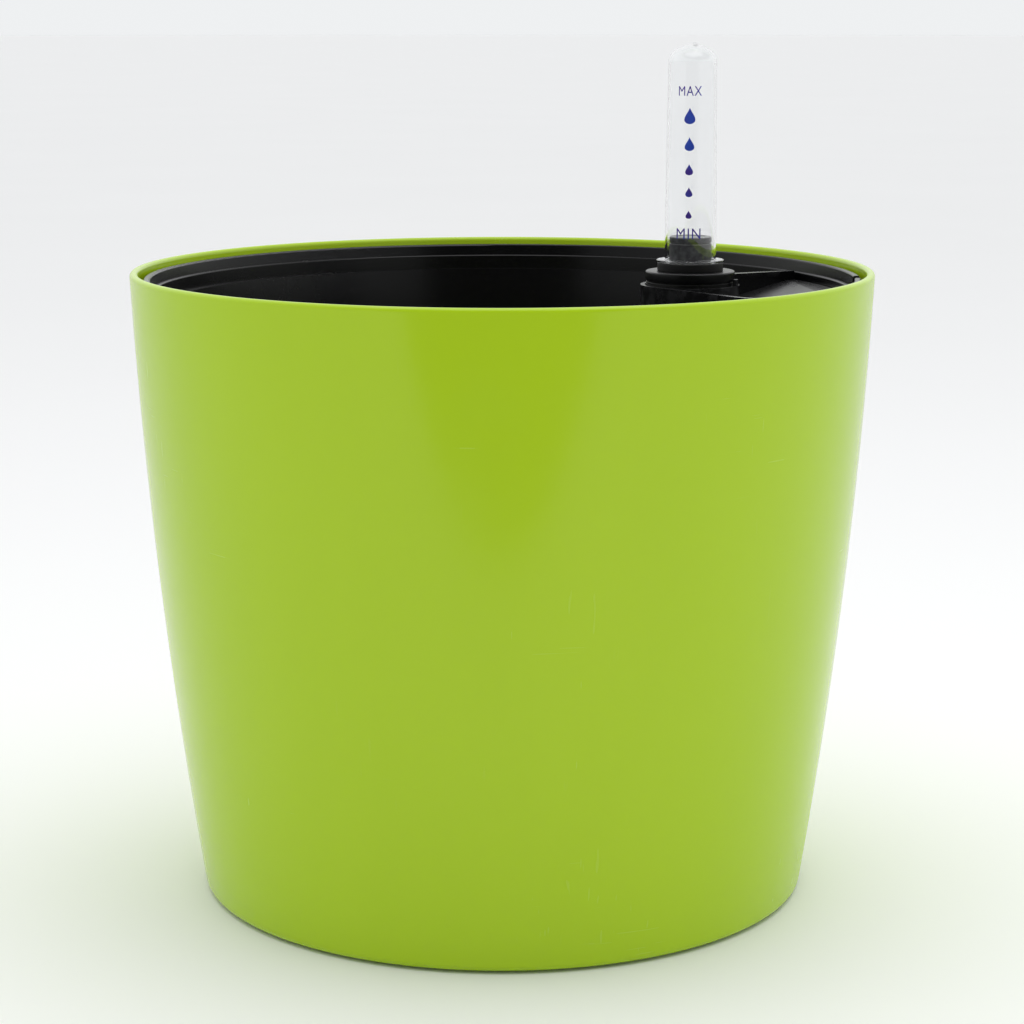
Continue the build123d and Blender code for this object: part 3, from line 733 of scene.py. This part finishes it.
def make_foam():
    """White closed-cell foam: small cells pressed flat on the skin, a little yellowed by water."""
    material, tree, shader = new_material("float_foam", IOR=1.4, Subsurface_Weight=0.1)
    cells = tree.nodes.new("ShaderNodeTexVoronoi")
    cells.inputs["Scale"].default_value = 900.0
    coordinates = tree.nodes.new("ShaderNodeTexCoord")
    tree.links.new(coordinates.outputs["Object"], cells.inputs["Vector"])
    stain = add_range(tree, add_noise(tree, 90.0, 4.0), 0.45, 0.75, 0.0, 0.6)
    clean = add_mix(tree, cells.outputs["Distance"], (0.80, 0.80, 0.77), (0.68, 0.68, 0.65))
    tree.links.new(add_mix(tree, stain, clean, (0.66, 0.62, 0.48)), shader.inputs["Base Color"])
    tree.links.new(add_range(tree, stain, 0.0, 0.6, 0.7, 0.85), shader.inputs["Roughness"])
    add_bump(tree, shader, cells.outputs["Distance"], 0.06 * MM)
    return material


def make_marker_grey():
    """Dark grey moulding with a lighter, uneven film of scale on it, and a painted light grey highlight
    over its upward faces where its top catches the light.
    """
    material, tree, shader = new_material("marker_grey", IOR=1.49)
    film = add_range(tree, add_noise(tree, 520.0, 5.0, 0.7), 0.38, 0.72, 0.0, 0.7)
    # painted highlight: the upward-face mask, turned up far past dust, paints the marker's top face light
    # grey where it catches the light
    dust_and_highlight = add_group(tree, dust_and_top_highlight, Amount=2.2)
    base = add_mix(tree, film, (0.016, 0.015, 0.018), (0.11, 0.112, 0.115))
    dust_and_highlight_colour = add_mix(tree, dust_and_highlight.outputs["Mask"], base, (0.42, 0.42, 0.41))
    tree.links.new(dust_and_highlight_colour, shader.inputs["Base Color"])
    tree.links.new(add_range(tree, film, 0.0, 0.7, 0.35, 0.6), shader.inputs["Roughness"])
    add_bump(tree, shader, add_group(tree, mould_grain, Scale=3000.0).outputs["Height"], 0.01 * MM)
    return material


lime = make_lime()
liner_black = make_black(
    "liner_satin",
    dark=(0.0012, 0.0012, 0.0015),
    light=(0.002, 0.0019, 0.0024),
    clean_rough=0.22,
    smudged_rough=0.3,
    grain=2400.0,
    depth=0.004 * MM,
    dust_amount=0.12,
    wear_amount=0.3,
)
hopper_black = make_black(
    "hopper_gloss",
    dark=(0.0025, 0.0025, 0.003),
    light=(0.004, 0.004, 0.0045),
    clean_rough=0.24,
    smudged_rough=0.36,
    grain=3000.0,
    depth=0.004 * MM,
    dust_amount=0.3,
    wear_amount=0.5,
)
guide_black = make_black(
    "guide_satin",
    dark=(0.02, 0.02, 0.021),
    light=(0.03, 0.03, 0.031),
    clean_rough=0.38,
    smudged_rough=0.55,
    grain=2800.0,
    depth=0.012 * MM,
    dust_amount=0.2,
    wear_amount=0.5,
)
rubber = make_rubber()
clear = make_clear()
ink = make_ink()
foam = make_foam()
marker_grey = make_marker_grey()

for piece in (tube_shell, tube_nub):
    dressed(piece, clear)
dressed(pot_shell, lime)
dressed(gauge_head, hopper_black)
dressed(grommet_ring, rubber)
dressed(marker_plug, marker_grey)
dressed(level_scale, ink)

finishes = {
    liner_black: ("inner_liner", "filler_shaft", "wick_cup_1", "wick_cup_2", "wick_cup_3"),
    hopper_black: ("filler_hopper",),
    rubber: ("drain_plug", "drain_plug_seal", "gauge_gasket"),
    guide_black: ("guide_tube", "guide_strainer", "rod_guide", "float_clip", "float_rod"),
    foam: ("float_body",),
}
for finish, names in finishes.items():
    for name in names:
        dressed(nodes[name], finish)


# ---------------------------------------------------------------- stage, lights and camera
def make_floor():
    """Plain pale sheet that reaches far behind the planter."""
    deselect()
    bpy.ops.mesh.primitive_circle_add(vertices=64, radius=30, fill_type="NGON")
    floor = bpy.context.object
    floor.name = "stage_floor"
    material, tree, shader = new_material("floor_sheet", Specular_IOR_Level=0.2)
    grain = add_noise(tree, 3.0, 2.0)
    sheet = add_mix(tree, grain, (0.90, 0.90, 0.90), (0.92, 0.92, 0.92))
    tree.links.new(sheet, shader.inputs["Base Color"])
    shader.inputs["Roughness"].default_value = 0.7
    dressed(floor, material)


def make_world():
    """Studio glow, dim on the camera's side. Direct or through the tube, it is seen as a pale backdrop."""
    world = bpy.data.worlds.new("studio")
    bpy.context.scene.world = world
    world.use_nodes = True
    tree = world.node_tree
    lamp = tree.nodes["Background"]
    coordinates = tree.nodes.new("ShaderNodeTexCoord")
    split = tree.nodes.new("ShaderNodeSeparateXYZ")
    tree.links.new(coordinates.outputs["Generated"], split.inputs["Vector"])
    depth = add_range(tree, split.outputs["Y"], -0.8, 0.15)
    glow = add_mix(tree, depth, (0.3, 0.305, 0.31), (1.16, 1.17, 1.18))
    height = add_range(tree, split.outputs["Z"], 0.0, 0.25)
    beyond = add_mix(tree, height, (0.86, 0.875, 0.88), glow)
    path = tree.nodes.new("ShaderNodeLightPath")
    direct = add_math(tree, "MAXIMUM", path.outputs["Is Camera Ray"], path.outputs["Is Transmission Ray"])
    seen = add_mix(tree, direct, beyond, (0.86, 0.875, 0.885))
    tree.links.new(seen, lamp.inputs["Color"])


def add_softbox(name, place, aim, size, power):
    """Square area light at a place, turned towards its aim."""
    data = bpy.data.lights.new(name, "AREA")
    data.size = size
    data.energy = power
    lamp = bpy.data.objects.new(name, data)
    bpy.context.scene.collection.objects.link(lamp)
    lamp.location = place
    lamp.rotation_euler = (Vector(aim) - Vector(place)).to_track_quat("-Z", "Y").to_euler()


def make_reflection_card():
    """Dark card in front of the planter that only reflections see."""
    deselect()
    bpy.ops.mesh.primitive_circle_add(
        vertices=64, radius=1, fill_type="NGON", location=(0, -0.38, 0.31), rotation=(math.pi / 2, 0, 0)
    )
    card = bpy.context.object
    card.name = "stage_card"
    card.scale = (0.24, 0.31, 1)
    bpy.ops.object.transform_apply(location=True, rotation=True, scale=True)
    matte_black, _, _ = new_material("card_dark", Roughness=1.0, Base_Color=(0.08, 0.08, 0.08, 1))
    dressed(card, matte_black)
    card.visible_camera = False
    card.visible_diffuse = False
    card.visible_shadow = False
    card.visible_transmission = False


def make_camera():
    """Long lens in front of the planter, a little above its rim and tilted down."""
    camera_data = bpy.data.cameras.new("camera")
    camera = bpy.data.objects.new("camera", camera_data)
    bpy.context.scene.collection.objects.link(camera)
    camera_data.lens = 91.4
    camera_data.sensor_width = 36.0
    camera.location = (0.0026, -0.7031, 0.2373)
    tilt = 10.84  # degrees below level
    camera.rotation_euler = (math.radians(90 - tilt), 0, 0)
    bpy.context.scene.camera = camera


make_floor()
make_world()
make_reflection_card()
add_softbox("overhead", (0.1, -0.2, 1.1), (0, -0.05, 0.1), 1.0, 3.8)
make_camera()
bpy.context.scene.view_settings.view_transform = "Standard"
